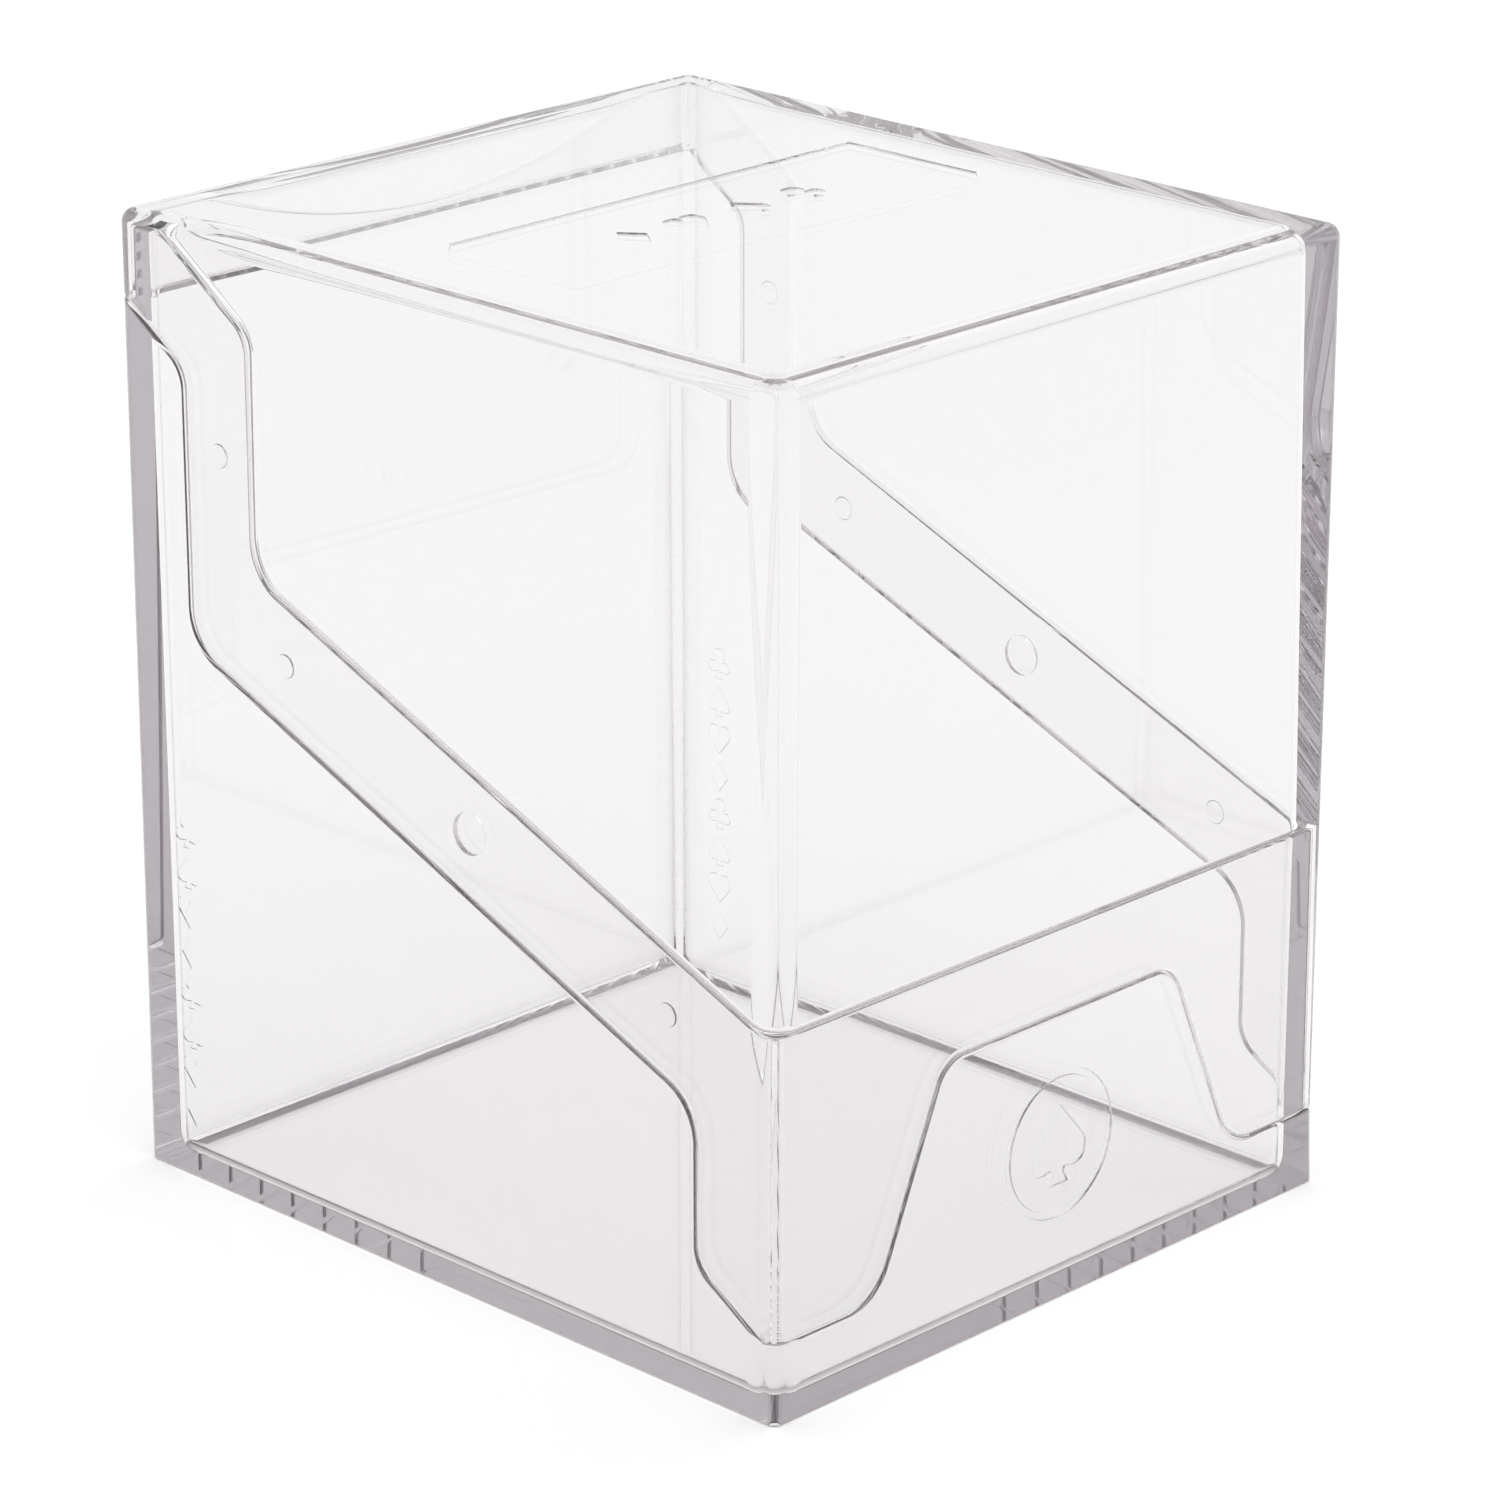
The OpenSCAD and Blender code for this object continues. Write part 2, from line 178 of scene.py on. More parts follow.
def suit_outline(half, height, centre=(0, 0)):
    """Closed outline of a suit, from its right half."""
    path = half + [(-x, y, r) for x, y, r in reversed(half) if x > 0]
    outline = rounded(path, SUIT_STEPS, closed=True)
    return [(centre[0] + x * height, centre[1] + y * height) for x, y in outline]


def circle_outline(r, centre=(0, 0)):
    angles = [2 * pi * i / CIRCLE_STEPS for i in range(CIRCLE_STEPS)]
    return [(centre[0] + r * cos(a), centre[1] + r * sin(a)) for a in angles]


def offset_path(points, distance):
    """The open path moved to its left by a distance."""
    moved = []
    for i, (x, y) in enumerate(points):
        before, after = points[max(i - 1, 0)], points[min(i + 1, len(points) - 1)]
        along = Vector((after[0] - before[0], after[1] - before[1])).normalized()
        moved.append((x - along.y * distance, y + along.x * distance))
    return moved


def inset_outline(points, distance):
    """The closed outline moved inwards by a distance; the outline may run either way round."""
    n = len(points)
    area = sum(points[i - 1][0] * points[i][1] - points[i][0] * points[i - 1][1] for i in range(n))
    side = distance if area > 0 else -distance
    moved = []
    for i, (x, y) in enumerate(points):
        a = (Vector(points[i]) - Vector(points[i - 1])).normalized()
        b = (Vector(points[(i + 1) % n]) - Vector(points[i])).normalized()
        normal = Vector((-a.y - b.y, a.x + b.x)).normalized()
        stretch = min(1.0 / max(abs(normal.dot(Vector((-a.y, a.x)))), FLATTEST_MITRE), LONGEST_MITRE)
        moved.append((x + normal.x * side * stretch, y + normal.y * side * stretch))
    return moved


class Edge:
    """Height of an edge that runs round the box: one path on each side wall, the front and the back."""

    def __init__(self, side, front, back):
        self.side, self.front, self.back = side, front, back

    def raised(self, distance):
        return Edge(*(offset_path(path, distance) for path in (self.side, self.front, self.back)))

    def along(self, wall):
        """The path as (travel, z), in the wall's own direction of travel."""
        path = (self.front, self.side, self.back, self.side)[wall]
        return path if wall < 2 else [(-t, z) for t, z in reversed(path)]


def height_at(path, t):
    """Height of a path at travel t, for a stretch where it has one height only."""
    for (t0, z0), (t1, z1) in zip(path, path[1:]):
        if t0 <= t <= t1 and t1 > t0:
            return z0 + (z1 - z0) * (t - t0) / (t1 - t0)
    return path[0][1] if t < path[0][0] else path[-1][1]


def seam_edge(gap=0.0):
    """Parting line, moved by gap towards the lid."""
    low, back_z = SEAM_FRONT_Z + gap, SEAM_BACK_Z + gap
    front_leg, back_leg = FRONT_LEG_Y - gap, BACK_LEG_Y - gap
    leg_top = BACK_LEG_HIGH + gap
    side = rounded([
        (-HALF_Y, low, 0),
        (front_leg - (FRONT_LEG_LOW - SEAM_FRONT_Z) / tan(LOWER_SLOPE), low, FAINT_R),
        (front_leg, FRONT_LEG_LOW + gap, TIGHT_R),
        (front_leg, FRONT_LEG_HIGH + gap, WIDE_R),
        (back_leg, BACK_LEG_LOW + gap, WIDE_R),
        (back_leg, leg_top, TIGHT_R),
        (back_leg + (back_z - leg_top) / tan(UPPER_SLOPE), back_z, FAINT_R),
        (HALF_Y, back_z, 0),
    ])
    foot, top = HUMP_FOOT_X + gap, HUMP_TOP_X + gap
    front = rounded([
        (-HALF_X, low, 0), (-foot, low, WIDE_R), (-top, HUMP_Z + gap, TIGHT_R),
        (top, HUMP_Z + gap, TIGHT_R), (foot, low, WIDE_R), (HALF_X, low, 0),
    ])
    return Edge(side, front, [(-HALF_X, back_z), (HALF_X, back_z)])


def scoop_path(top_z):
    """Back edge of the lip: level, with a wide arc that dips in the middle."""
    r = (SCOOP_X ** 2 + SCOOP_DEPTH ** 2) / (2 * SCOOP_DEPTH)
    arc_z, end_z = top_z - SCOOP_DEPTH + r, top_z - SCOOP_END_R
    end_x = sqrt((r + SCOOP_END_R) ** 2 - (arc_z - end_z) ** 2)
    lean = atan2(end_x, arc_z - end_z)
    steps = 2 * ARC_STEPS
    arc = [(r * sin(lean * i / steps), arc_z - r * cos(lean * i / steps)) for i in range(steps + 1)]
    turns = [lean * (1 - i / ARC_STEPS) for i in range(1, ARC_STEPS + 1)]
    end = [(end_x - SCOOP_END_R * sin(a), end_z + SCOOP_END_R * cos(a)) for a in turns]
    right = arc + end + [(HALF_X, top_z)]
    return [(-x, z) for x, z in reversed(right[1:])] + right


def lip_edge(gap=0.0):
    """Edge of the lip, moved by gap towards the lid."""
    leg, leg_top, top_z = LIP_LEG_Y - gap, LIP_LEG_HIGH + gap, LIP_TOP_Z + gap
    front_z = LIP_FRONT_Z + gap
    side = rounded([
        (-HALF_Y, front_z, 0),
        (-HALF_Y + WALL_FOOT, front_z, FAINT_R),
        (leg, LIP_LEG_LOW + gap, WIDE_R),
        (leg, leg_top, TIGHT_R),
        (leg + (top_z - leg_top) / tan(UPPER_SLOPE), top_z, TIGHT_R),
        (HALF_Y, top_z, 0),
    ])
    return Edge(side, [(-HALF_X, front_z), (HALF_X, front_z)], scoop_path(top_z))


# ---------------------------------------------------------------- surfaces

FLAT, BODY, SOFT = 3, 2, 1      # which faces decide a shared normal: the highest rank at a point


class Wall:
    """Plane frame of one wall: travel along it, outward normal, half length and distance from the centre."""

    def __init__(self, normal, half_length, distance):
        self.normal = Vector(normal)
        self.travel = Vector((-normal[1], normal[0], 0))
        self.half_length, self.distance = half_length, distance

    def point(self, t, z, depth):
        place = self.normal * (self.distance - depth) + self.travel * t
        return Vector((place.x, place.y, z))


WALLS = (
    Wall((0, -1, 0), HALF_X, HALF_Y), Wall((1, 0, 0), HALF_Y, HALF_X),
    Wall((0, 1, 0), HALF_X, HALF_Y), Wall((-1, 0, 0), HALF_Y, HALF_X),
)
FRONT, RIGHT, BACK, LEFT = range(4)


class Ring:
    """One closed line round a shell: vertex numbers along each wall and each corner."""

    def __init__(self):
        self.walls, self.corners = [], []


class Shell:
    """A closed surface with its own shading normals: flat walls stay flat, roundings blend into them."""

    def __init__(self):
        self.points, self.faces, self.ranks, self.groups = [], [], [], []
        self.group = 0

    def vertex(self, point):
        self.points.append(point)
        return len(self.points) - 1

    def face(self, ids, rank, group=0):
        ids = [v for i, v in enumerate(ids) if v != ids[i - 1]]
        if len(ids) > 2:
            self.faces.append(ids)
            self.ranks.append(rank)
            self.groups.append(group)

    def ring(self, edge, depth, r, lift=None):
        """A ring along an edge, or level at a height, with vertical corners of radius r.

        depth is the distance below the outer faces and r the corner radius: each a number or a function
        of the height along the edge. lift, where given, moves each point from its height to another."""
        ring = Ring()
        level_edge = not isinstance(edge, Edge)
        deep = depth if callable(depth) else lambda z: depth
        turn = r if callable(r) else lambda z: r
        raise_to = lift or (lambda z: z)
        interior = []
        for i, wall in enumerate(WALLS):
            beside = WALLS[(i + 1) % 4]
            path = [(-wall.half_length, edge), (wall.half_length, edge)] if level_edge else edge.along(i)
            column = []
            for j in range(CORNER_STEPS + 1):
                angle = pi / 2 * j / CORNER_STEPS
                level = edge if level_edge else self.corner_height(edge.side, i, deep, turn, angle)
                inset = deep(level) + turn(level)
                centre = wall.normal * (wall.distance - inset) + wall.travel * (wall.half_length - inset)
                place = centre + (wall.normal * cos(angle) + beside.normal * sin(angle)) * turn(level)
                column.append(self.vertex(Vector((place.x, place.y, raise_to(level)))))
            ring.corners.append(column)
            interior.append([] if level_edge else self.wall_samples(wall, path, deep, turn, raise_to))
        for i in range(4):
            ring.walls.append([ring.corners[i - 1][-1]] + interior[i] + [ring.corners[i][0]])
        return ring

    def corner_height(self, side, i, deep, turn, angle):
        """Height of an edge at one column of the corner that follows wall i."""
        at_front = i in (FRONT, LEFT)
        end_z = side[0][1] if at_front else side[-1][1]
        across = sin(angle) if i in (RIGHT, LEFT) else cos(angle)
        y = HALF_Y - deep(end_z) - turn(end_z) * (1 - across)
        return height_at(side, -y if at_front else y)

    def wall_samples(self, wall, path, deep, turn, raise_to):
        """Vertices of an edge along one wall; near its ends they close up to fit the corner."""
        outermost = wall.half_length - OUTERMOST_END
        knee = wall.half_length - KNEE
        ids, last = [], None
        for t, z in path:
            if abs(t) >= outermost:
                continue
            if abs(t) > knee:
                end_z = height_at(path, wall.half_length if t > 0 else -wall.half_length)
                end = wall.half_length - deep(end_z) - turn(end_z)
                shut = knee + (abs(t) - knee) * (end - knee) / (outermost - knee)
                t = shut if t > 0 else -shut
                z = height_at(path, t)
            place = (t, raise_to(z))
            if last is None or hypot(place[0] - last[0], place[1] - last[1]) > SAME_POINT:
                ids.append(self.vertex(wall.point(t, raise_to(z), deep(z))))
                last = place
            else:
                ids.append(ids[-1])
        return ids

    def strip(self, low, high, rank):
        """Quads between two rings whose vertices match one to one."""
        for a, b in zip(low.walls + low.corners, high.walls + high.corners):
            for i in range(len(a) - 1):
                self.face([a[i], a[i + 1], b[i + 1], b[i]], rank)

    def rounding(self, rings):
        """Soft strips that join each ring to the next."""
        for low, high in zip(rings, rings[1:]):
            self.strip(low, high, SOFT)

    def fill(self, outlines, rank, flatten):
        """Triangles between closed outlines of vertex numbers, by the even-odd rule, seen through flatten."""
        flat, numbers, edges = [], [], []
        for outline in outlines:
            outline = [v for i, v in enumerate(outline) if v != outline[i - 1]]
            first = len(flat)
            flat += [Vector(flatten(self.points[v])) / MM for v in outline]
            numbers += outline
            edges += [(first + i, first + (i + 1) % len(outline)) for i in range(len(outline))]
        found = delaunay_2d_cdt(flat, edges, [], FILL_HULL, FILL_TOLERANCE, True)
        _, sides, triangles, origins, sources, _ = found
        outline_sides = {frozenset(side) for side, source in zip(sides, sources) if source}
        for k in inner_triangles(triangles, outline_sides):
            self.face([numbers[origins[v][0]] for v in triangles[k]], rank)

    def skin(self, low, high, holes=None):
        """The broad surface between two rings; holes gives outlines of vertex numbers for each wall."""
        for a, b in zip(low.corners, high.corners):
            for j in range(CORNER_STEPS):
                self.face([a[j], a[j + 1], b[j + 1], b[j]], BODY)
        for i, wall in enumerate(WALLS):
            outline = low.walls[i] + high.walls[i][::-1]
            rims = (holes or {}).get(i, [])
            self.fill([outline] + rims, FLAT, lambda p, wall=wall: (p.dot(wall.travel), p.z))

    def cap(self, ring, holes=()):
        """The level surface inside a ring."""
        outline = [v for wall, corner in zip(ring.walls, ring.corners) for v in wall[:-1] + corner[:-1]]
        self.fill([outline, *holes], FLAT, lambda p: (p.x, p.y))

    def recess(self, outlines, place, flatten, depth, run, deeper=()):
        """Sinks outlines by depth with sloping sides, or raises them where depth is negative.

        place(u, v, depth) gives a point, and deeper lists outlines sunk by the same depth again. Every
        second outline is the inner edge of the one before it. Returns the rims."""
        rims, lowered = [], []
        for k, outline in enumerate(outlines):
            self.group += 1
            side = -1 if k % 2 else 1
            rings = []
            for across, down in SLOPE_PROFILE:
                moved = inset_outline(outline, side * run * across)
                rings.append([self.vertex(place(u, v, depth * down)) for u, v in moved])
            for a, b in zip(rings, rings[1:]):
                for i in range(len(a)):
                    self.face([a[i - 1], a[i], b[i], b[i - 1]], BODY, self.group)
            rims.append(rings[0])
            lowered.append(rings[-1])
        sunk = []
        for outline in deeper:
            sunk += self.recess([outline], lambda u, v, d: place(u, v, depth + d), flatten, depth, run)
        self.fill(lowered + sunk, FLAT, flatten)
        return rims

    def build(self, name):
        """The finished object, with flat walls shaded flat and roundings blended into them."""
        mesh = bpy.data.meshes.new(name)
        mesh.from_pydata([tuple(p) for p in self.points], [], self.faces)
        turn_outwards(mesh)
        normals = {}
        best = {}
        for polygon, rank, group in zip(mesh.polygons, self.ranks, self.groups):
            for v in polygon.vertices:
                key = (v, group)
                if rank > best.get(key, 0):
                    best[key] = rank
                    normals[key] = Vector((0, 0, 0))
                if rank == best[key]:
                    normals[key] += polygon.normal * polygon.area
        loops = []
        for polygon, rank, group in zip(mesh.polygons, self.ranks, self.groups):
            for v in polygon.vertices:
                loops.append(polygon.normal if rank == FLAT else normals[(v, group)].normalized())
        mesh.polygons.foreach_set("use_smooth", [True] * len(mesh.polygons))
        mesh.normals_split_custom_set(loops)
        obj = bpy.data.objects.new(name, mesh)
        bpy.context.scene.collection.objects.link(obj)
        return obj


def inner_triangles(triangles, outline_sides):
    """Numbers of the triangles inside the outlines: crossing an outline turns outside into inside or back."""
    owners = {}
    for k, triangle in enumerate(triangles):
        for i in range(3):
            owners.setdefault(frozenset((triangle[i - 1], triangle[i])), []).append(k)
    inner = {found[0]: side in outline_sides for side, found in owners.items() if len(found) == 1}
    queue = list(inner)
    while queue:
        k = queue.pop()
        for i in range(3):
            side = frozenset((triangles[k][i - 1], triangles[k][i]))
            for other in owners[side]:
                if other not in inner:
                    inner[other] = inner[k] != (side in outline_sides)
                    queue.append(other)
    return [k for k in sorted(inner) if inner[k]]


def turn_outwards(mesh):
    """Turns every face of a closed mesh outwards without changing the faces' order."""
    work = bmesh.new()
    work.from_mesh(mesh)
    bmesh.ops.recalc_face_normals(work, faces=work.faces)
    loose = [v for v in work.verts if not v.link_faces]
    bmesh.ops.delete(work, geom=loose, context="VERTS")
    work.to_mesh(mesh)
    work.free()
    mesh.update()


def drafted(foot, top):
    return lambda z: foot + (top - foot) * z / TOP


def quarter(steps):
    """Sine and cosine along a quarter turn."""
    return [(sin(pi / 2 * i / steps), cos(pi / 2 * i / steps)) for i in range(steps + 1)]


# ---------------------------------------------------------------- the base

base_wall = drafted(WALL_FOOT, WALL_TOP)
thin_wall = drafted(LID_THIN_FOOT, LID_THIN_TOP)
full_wall = drafted(LID_FULL_FOOT, LID_FULL_TOP)


def lip_face(z):
    return thin_wall(z) + FIT_GAP


def lip_middle(y):
    """Height of the middle of the side lip on its long diagonal."""
    return (height_at(seam_edge().side, y) + height_at(lip_edge().side, y)) / 2


def wall_recess(shell, wall, outlines, depth, run, face=lambda z: 0.0):
    """Sinks or raises outlines, given as (travel, z), on one wall of a shell."""
    def place(t, z, down):
        return wall.point(t, z, face(z) + down)
    return shell.recess(outlines, place, lambda p: (p.dot(wall.travel), p.z), depth, run)


def side_mark_rims(shell, wall):
    rims = []
    facing = 1 if wall is WALLS[RIGHT] else -1
    for i, suit in enumerate(SUITS * SIDE_ROUNDS):
        centre = (facing * SIDE_ROW_Y, SIDE_ROW_Z + i * SIDE_PITCH)
        rims += wall_recess(shell, wall, [suit_outline(suit, SIDE_MARK, centre)], SIDE_ENGRAVE, ENGRAVE_RUN)
    return rims


def lip_mark_rims(shell, wall):
    """Nubs and snap pocket on one side lip."""
    facing = 1 if wall is WALLS[RIGHT] else -1
    leg_y = (BACK_LEG_Y + LIP_LEG_Y) / 2
    places = [(y, lip_middle(y)) for y in NUBS_ON_DIAGONAL] + [(leg_y, NUB_ON_LEG_Z)]
    rims = []
    for y, z in places:
        nub = circle_outline(NUB_R, (facing * y, z))
        rims += wall_recess(shell, wall, [nub], -NUB_PROUD, NUB_PROUD, lip_face)
    pocket = circle_outline(POCKET_R, (facing * POCKET_Y, lip_middle(POCKET_Y)))
    return rims + wall_recess(shell, wall, [pocket], POCKET_DEPTH, ENGRAVE_RUN, lip_face)


def emblem_rims(shell):
    """Generic ring with a spade on the thumb hump."""
    wall = WALLS[FRONT]
    centre = (0, RING_Z)
    ring = [circle_outline(RING_R, centre), circle_outline(RING_R - RING_T, centre)]
    spade = suit_outline(SPADE, RING_SPADE, centre)
    return (wall_recess(shell, wall, ring, ENGRAVE, ENGRAVE_RUN)
            + wall_recess(shell, wall, [spade], ENGRAVE, ENGRAVE_RUN))


def build_base():
    shell = Shell()
    seam, lip = seam_edge(), lip_edge()

    foot = [shell.ring(FOOT_R * (1 - c), FOOT_R * (1 - s), EDGE_FOOT_R - FOOT_R * (1 - s))
            for s, c in quarter(BEVEL_STEPS)]
    shell.cap(foot[0])
    shell.rounding(foot)

    b = SEAM_BEVEL
    crest = [shell.ring(seam.raised(b * (s - 1)), b * (1 - c), EDGE_R - b * (1 - c))
             for s, c in quarter(BEVEL_STEPS)]
    holes = {FRONT: emblem_rims(shell), LEFT: side_mark_rims(shell, WALLS[LEFT]),
             RIGHT: side_mark_rims(shell, WALLS[RIGHT])}
    shell.skin(foot[-1], crest[0], holes)
    shell.rounding(crest)

    f = ROOT_FILLET
    root = [shell.ring(seam.raised(f * (1 - c)), lambda z, s=s: lip_face(z) - f * (1 - s),
                       LIP_R + f * (1 - s))
            for s, c in quarter(BEVEL_STEPS)]
    shell.strip(crest[-1], root[0], BODY)
    shell.rounding(root)

    b = LIP_BEVEL
    outer = [shell.ring(lip.raised(b * (s - 1)), lambda z, c=c: lip_face(z) + b * (1 - c),
                        LIP_R - b * (1 - c))
             for s, c in quarter(BEVEL_STEPS)]
    inner = [shell.ring(lip.raised(b * (c - 1)), lambda z, s=s: base_wall(z) - b * (1 - s),
                        INSIDE_R + b * (1 - s))
             for s, c in quarter(BEVEL_STEPS)]
    marks = {i: lip_mark_rims(shell, WALLS[i]) for i in (LEFT, RIGHT)}
    shell.skin(root[-1], outer[0], marks)
    shell.rounding(outer)
    shell.strip(outer[-1], inner[0], BODY)
    shell.rounding(inner)

    r = FLOOR_FILLET
    floor = [shell.ring(FLOOR_T + r * (1 - s), base_wall(FLOOR_T + r * (1 - s)) + r * (1 - c),
                        INSIDE_R - r * (1 - c))
             for s, c in quarter(2 * BEVEL_STEPS)]
    shell.skin(inner[-1], floor[0])
    shell.rounding(floor)
    shell.cap(floor[-1])
    return shell.build("base_shell")


# ---------------------------------------------------------------- the lid

def panel_outline():
    w, d, cut = PANEL_X, PANEL_Y, PANEL_CUT
    corners = [(-w, -d), (w - cut, -d), (w, -d + cut), (w, d), (-w + cut, d), (-w, d - cut)]
    return [(x, y + PANEL_MIDDLE) for x, y in corners]


def panel_rims(shell):
    """Label panel on top, with a row of suits sunk into its floor."""
    middle = (len(SUITS) - 1) / 2
    suits = [suit_outline(suit, TOP_MARK, ((i - middle) * TOP_PITCH, PANEL_MIDDLE))
             for i, suit in enumerate(SUITS)]
    return shell.recess([panel_outline()], lambda x, y, down: Vector((x, y, TOP - down)),
                        lambda p: (p.x, p.y), ENGRAVE, ENGRAVE_RUN, suits)


def cove(z):
    """Radius of the fillet under the ceiling, over a point of the ledge at height z."""
    return min(COVE, COVE_SHARE * (CEILING_Z - z))


def nose(z):
    """Radius of the ledge's rounded edge at height z."""
    return min(LEDGE_BEVEL, (CEILING_Z - z) / BEVELS_TO_CEILING)


def build_lid():
    shell = Shell()
    rim, ledge = seam_edge(RIM_GAP), lip_edge(FIT_GAP)

    b = RIM_BEVEL
    outer = [shell.ring(rim.raised(b * (1 - c)), b * (1 - s), EDGE_R - b * (1 - s))
             for s, c in quarter(BEVEL_STEPS)]
    inner = [shell.ring(rim.raised(b * (1 - c)), lambda z, s=s: thin_wall(z) - b * (1 - s),
                        LIP_R + b * (1 - s))
             for s, c in quarter(BEVEL_STEPS)]
    shell.strip(outer[0], inner[0], BODY)
    shell.rounding(outer)
    shell.rounding(inner)

    top = [shell.ring(TOP - TOP_R * (1 - s), TOP_R * (1 - c), EDGE_R - TOP_R * (1 - c))
           for s, c in quarter(2 * BEVEL_STEPS)]
    shell.skin(outer[-1], top[0])
    shell.rounding(top)
    shell.cap(top[-1], panel_rims(shell))

    shelf = shell.ring(ledge, thin_wall, LIP_R)
    shell.skin(inner[-1], shelf)
    step = [shell.ring(ledge, lambda z, s=s, c=c: full_wall(z + nose(z) * (1 - c)) - nose(z) * (1 - s),
                       lambda z, s=s: LID_INSIDE_R + nose(z) * (1 - s), lambda z, c=c: z + nose(z) * (1 - c))
            for s, c in quarter(BEVEL_STEPS)]
    shell.strip(shelf, step[0], BODY)
    shell.rounding(step)

    coves = [shell.ring(ledge, lambda z, c=c: full_wall(CEILING_Z - cove(z)) + cove(z) * (1 - c),
                        lambda z, c=c: LID_INSIDE_R - cove(z) * (1 - c),
                        lambda z, s=s: CEILING_Z - cove(z) * (1 - s))
             for s, c in quarter(2 * BEVEL_STEPS)]
    shell.skin(step[-1], coves[0])
    shell.rounding(coves)
    shell.cap(coves[-1])
    return shell.build("lid_shell")


# ---------------------------------------------------------------- finishes

def new_material(name):
    material = bpy.data.materials.new(name)
    material.use_nodes = True
    nodes = material.node_tree.nodes
    nodes.clear()
    return material, nodes, material.node_tree.links


def clear_plastic(name):
    """Polished clear plastic: almost smooth, with a faint grey tint that shows through long walls."""
    material, nodes, links = new_material(name)
    output = nodes.new("ShaderNodeOutputMaterial")
    shader = nodes.new("ShaderNodeBsdfPrincipled")
    shader.inputs["Base Color"].default_value = (*BODY_TINT, 1)
    shader.inputs["IOR"].default_value = PLASTIC_IOR
    shader.inputs["Transmission Weight"].default_value = 1.0
    place = nodes.new("ShaderNodeTexCoord")
    cloud = nodes.new("ShaderNodeTexNoise")
    cloud.inputs["Scale"].default_value = POLISH_SCALE
    cloud.inputs["Detail"].default_value = POLISH_DETAIL
    polish = nodes.new("ShaderNodeMapRange")
    polish.inputs["To Min"].default_value, polish.inputs["To Max"].default_value = POLISH
    links.new(place.outputs["Object"], cloud.inputs["Vector"])
    links.new(cloud.outputs["Fac"], polish.inputs["Value"])
    links.new(polish.outputs["Result"], shader.inputs["Roughness"])
    inside_tint = nodes.new("ShaderNodeVolumeAbsorption")
    inside_tint.inputs["Color"].default_value = (*DEPTH_TINT, 1)
    inside_tint.inputs["Density"].default_value = DEPTH_DENSITY
    links.new(shader.outputs["BSDF"], output.inputs["Surface"])
    links.new(inside_tint.outputs["Volume"], output.inputs["Volume"])
    return material


def floor_finish():
    """Pale matt studio floor with a very faint mottle."""
    material, nodes, links = new_material("studio_floor")
    output = nodes.new("ShaderNodeOutputMaterial")
    shader = nodes.new("ShaderNodeBsdfPrincipled")
    shader.inputs["Roughness"].default_value = FLOOR_ROUGHNESS
    shader.inputs["Specular IOR Level"].default_value = 0.0
    place = nodes.new("ShaderNodeTexCoord")
    cloud = nodes.new("ShaderNodeTexNoise")
    cloud.inputs["Scale"].default_value = FLOOR_MOTTLE
    mottle = nodes.new("ShaderNodeValToRGB")
    mottle.color_ramp.elements[0].color = (*FLOOR_DARK, 1)
    mottle.color_ramp.elements[1].color = (*FLOOR_LIGHT, 1)
    links.new(place.outputs["Object"], cloud.inputs["Vector"])
    links.new(cloud.outputs["Fac"], mottle.inputs["Fac"])
    links.new(mottle.outputs["Color"], shader.inputs["Base Color"])
    links.new(shader.outputs["BSDF"], output.inputs["Surface"])
    return material


# ---------------------------------------------------------------- stage, light and camera

def build_floor():
    mesh = bpy.data.meshes.new("studio_floor")
    corners = [(-1, -1), (1, -1), (1, 1), (-1, 1)]
    mesh.from_pydata([(x * FLOOR_HALF, y * FLOOR_HALF, -FLOOR_DROP) for x, y in corners], [], [(0, 1, 2, 3)])
    mesh.materials.append(floor_finish())
    floor = bpy.data.objects.new("studio_floor", mesh)
    bpy.context.scene.collection.objects.link(floor)


def build_world():
    world = bpy.data.worlds.new("studio")
    world.use_nodes = True
    nodes, links = world.node_tree.nodes, world.node_tree.links
    place = nodes.new("ShaderNodeTexCoord")
    split = nodes.new("ShaderNodeSeparateXYZ")
    sky = nodes.new("ShaderNodeValToRGB")
    sky.color_ramp.elements[0].color = (*HORIZON_COLOUR, 1)
    sky.color_ramp.elements[1].color = (*ZENITH_COLOUR, 1)
    links.new(place.outputs["Generated"], split.inputs["Vector"])
    links.new(split.outputs["Z"], sky.inputs["Fac"])
    links.new(sky.outputs["Color"], nodes["Background"].inputs["Color"])
    nodes["Background"].inputs["Strength"].default_value = WORLD_STRENGTH
    bpy.context.scene.world = world


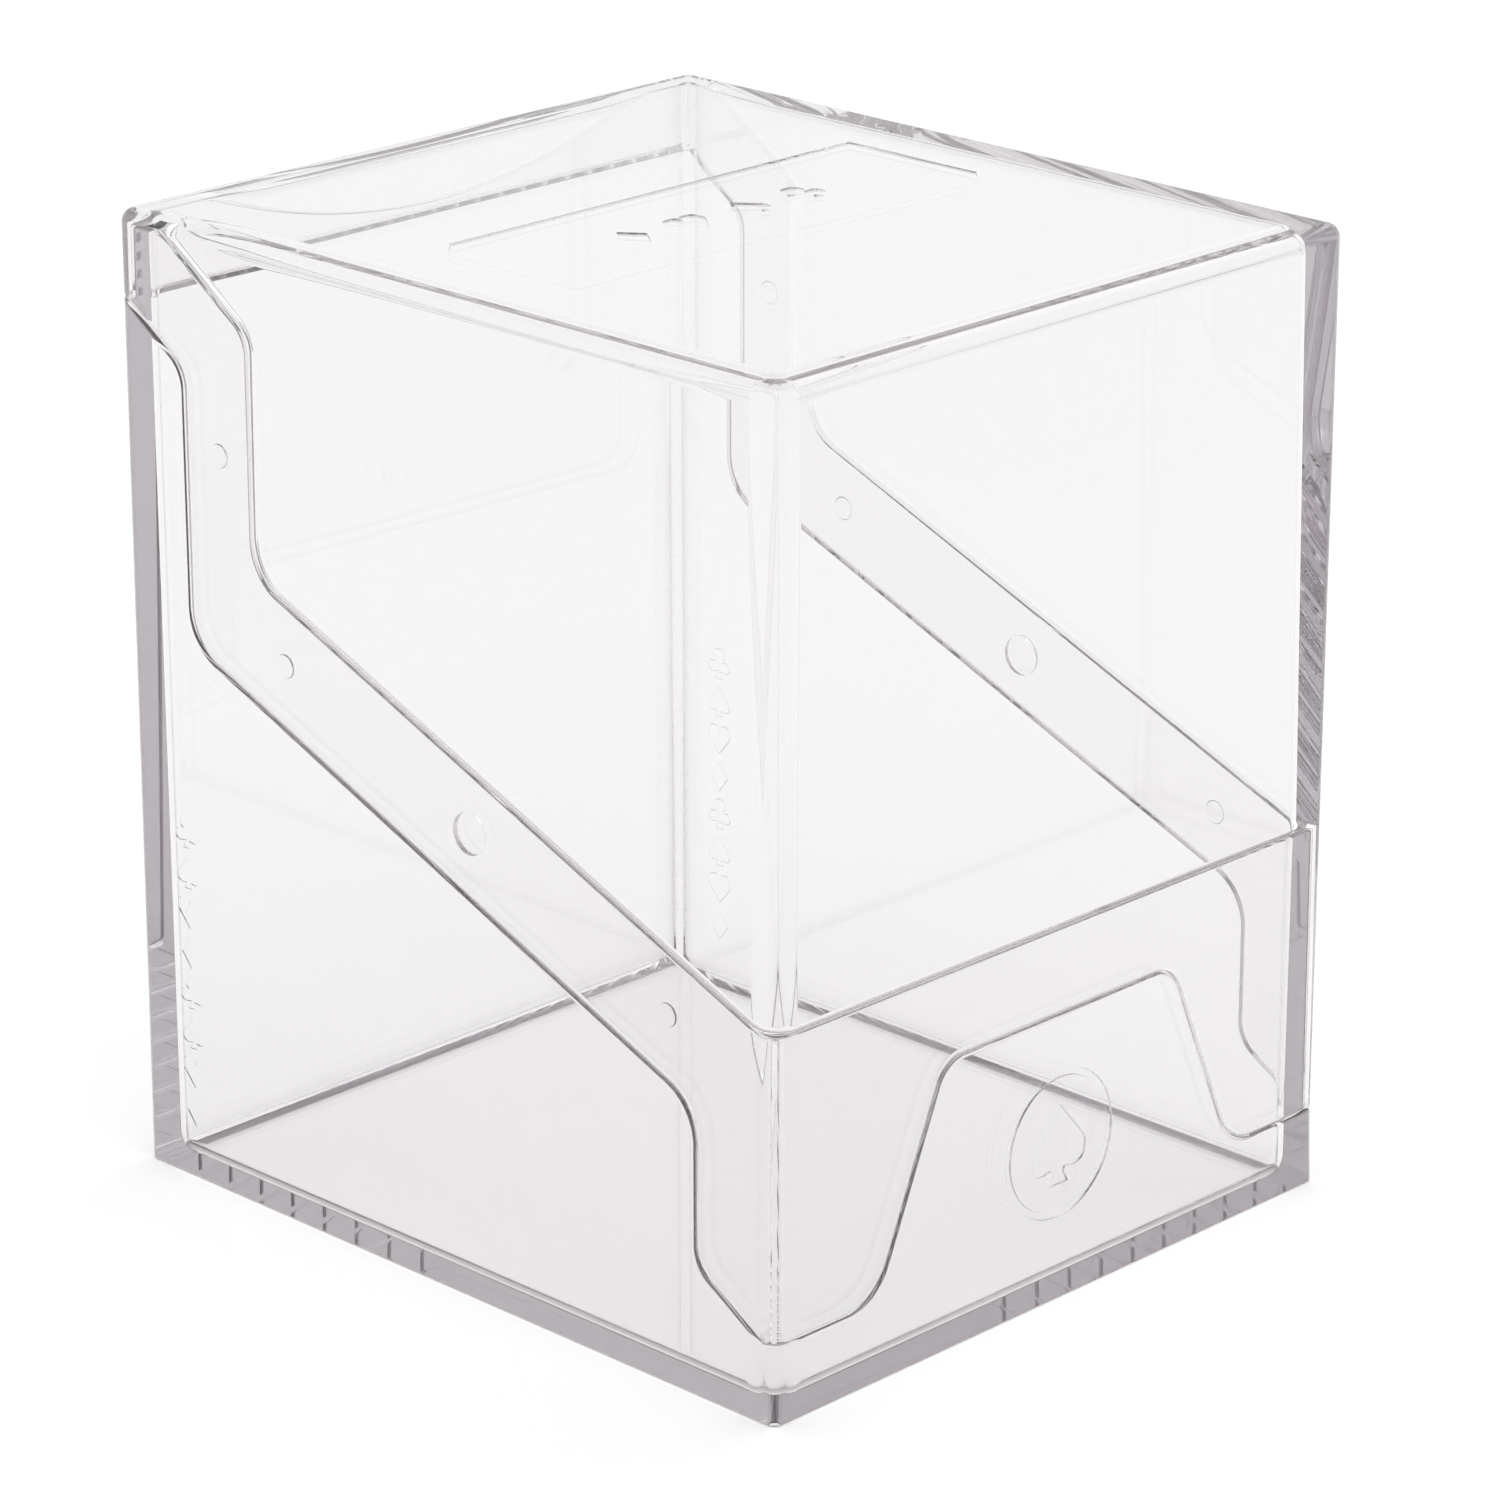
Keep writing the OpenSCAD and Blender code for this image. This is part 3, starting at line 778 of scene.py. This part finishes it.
def area_light(name, azimuth, elevation, distance, size, power):
    """Soft square light aimed at the middle of the box; azimuth 0 is in front."""
    data = bpy.data.lights.new(name, "AREA")
    data.shape, data.size, data.energy = "SQUARE", size, power
    light = bpy.data.objects.new(name, data)
    towards = view_back(azimuth, elevation)
    light.location = MIDDLE + towards * distance
    light.rotation_euler = towards.to_track_quat("Z", "Y").to_euler()
    bpy.context.scene.collection.objects.link(light)


def view_back(azimuth, elevation):
    """Unit vector from the box towards a viewer."""
    a, e = radians(azimuth), radians(elevation)
    return Vector((sin(a) * cos(e), -cos(a) * cos(e), sin(e)))


def build_camera():
    data = bpy.data.cameras.new("camera")
    data.lens, data.sensor_width = CAMERA_LENS, CAMERA_SENSOR
    camera = bpy.data.objects.new("camera", data)
    back = view_back(CAMERA_AZIMUTH, CAMERA_ELEVATION)
    right = Vector((cos(radians(CAMERA_AZIMUTH)), sin(radians(CAMERA_AZIMUTH)), 0))
    up = back.cross(right)
    roll = radians(CAMERA_ROLL)
    right, up = right * cos(roll) + up * sin(roll), up * cos(roll) - right * sin(roll)
    camera.matrix_world = Matrix((right, up, back)).transposed().to_4x4()
    camera.location = MIDDLE + back * CAMERA_DISTANCE + right * AIM_RIGHT + up * AIM_UP
    bpy.context.scene.collection.objects.link(camera)
    bpy.context.scene.camera = camera


base_shell, lid_shell = build_base(), build_lid()
for shell, body in ((base_shell, "base"), (lid_shell, "lid")):
    shell.data.materials.append(clear_plastic("clear_plastic_" + body))
    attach(shell, body)
    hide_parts(body)

build_floor()
build_world()
for name, azimuth, elevation in SOFTBOXES:
    area_light(name, azimuth, elevation, SOFTBOX_DISTANCE, SOFTBOX_SIZE, SOFTBOX_POWER)
build_camera()

scene = bpy.context.scene
scene.view_settings.view_transform = "Standard"
scene.cycles.max_bounces = LIGHT_BOUNCES
scene.cycles.transmission_bounces = LIGHT_BOUNCES
scene.cycles.glossy_bounces = LIGHT_BOUNCES
scene.cycles.blur_glossy = 0.0      # the filter would darken the floor under clear plastic
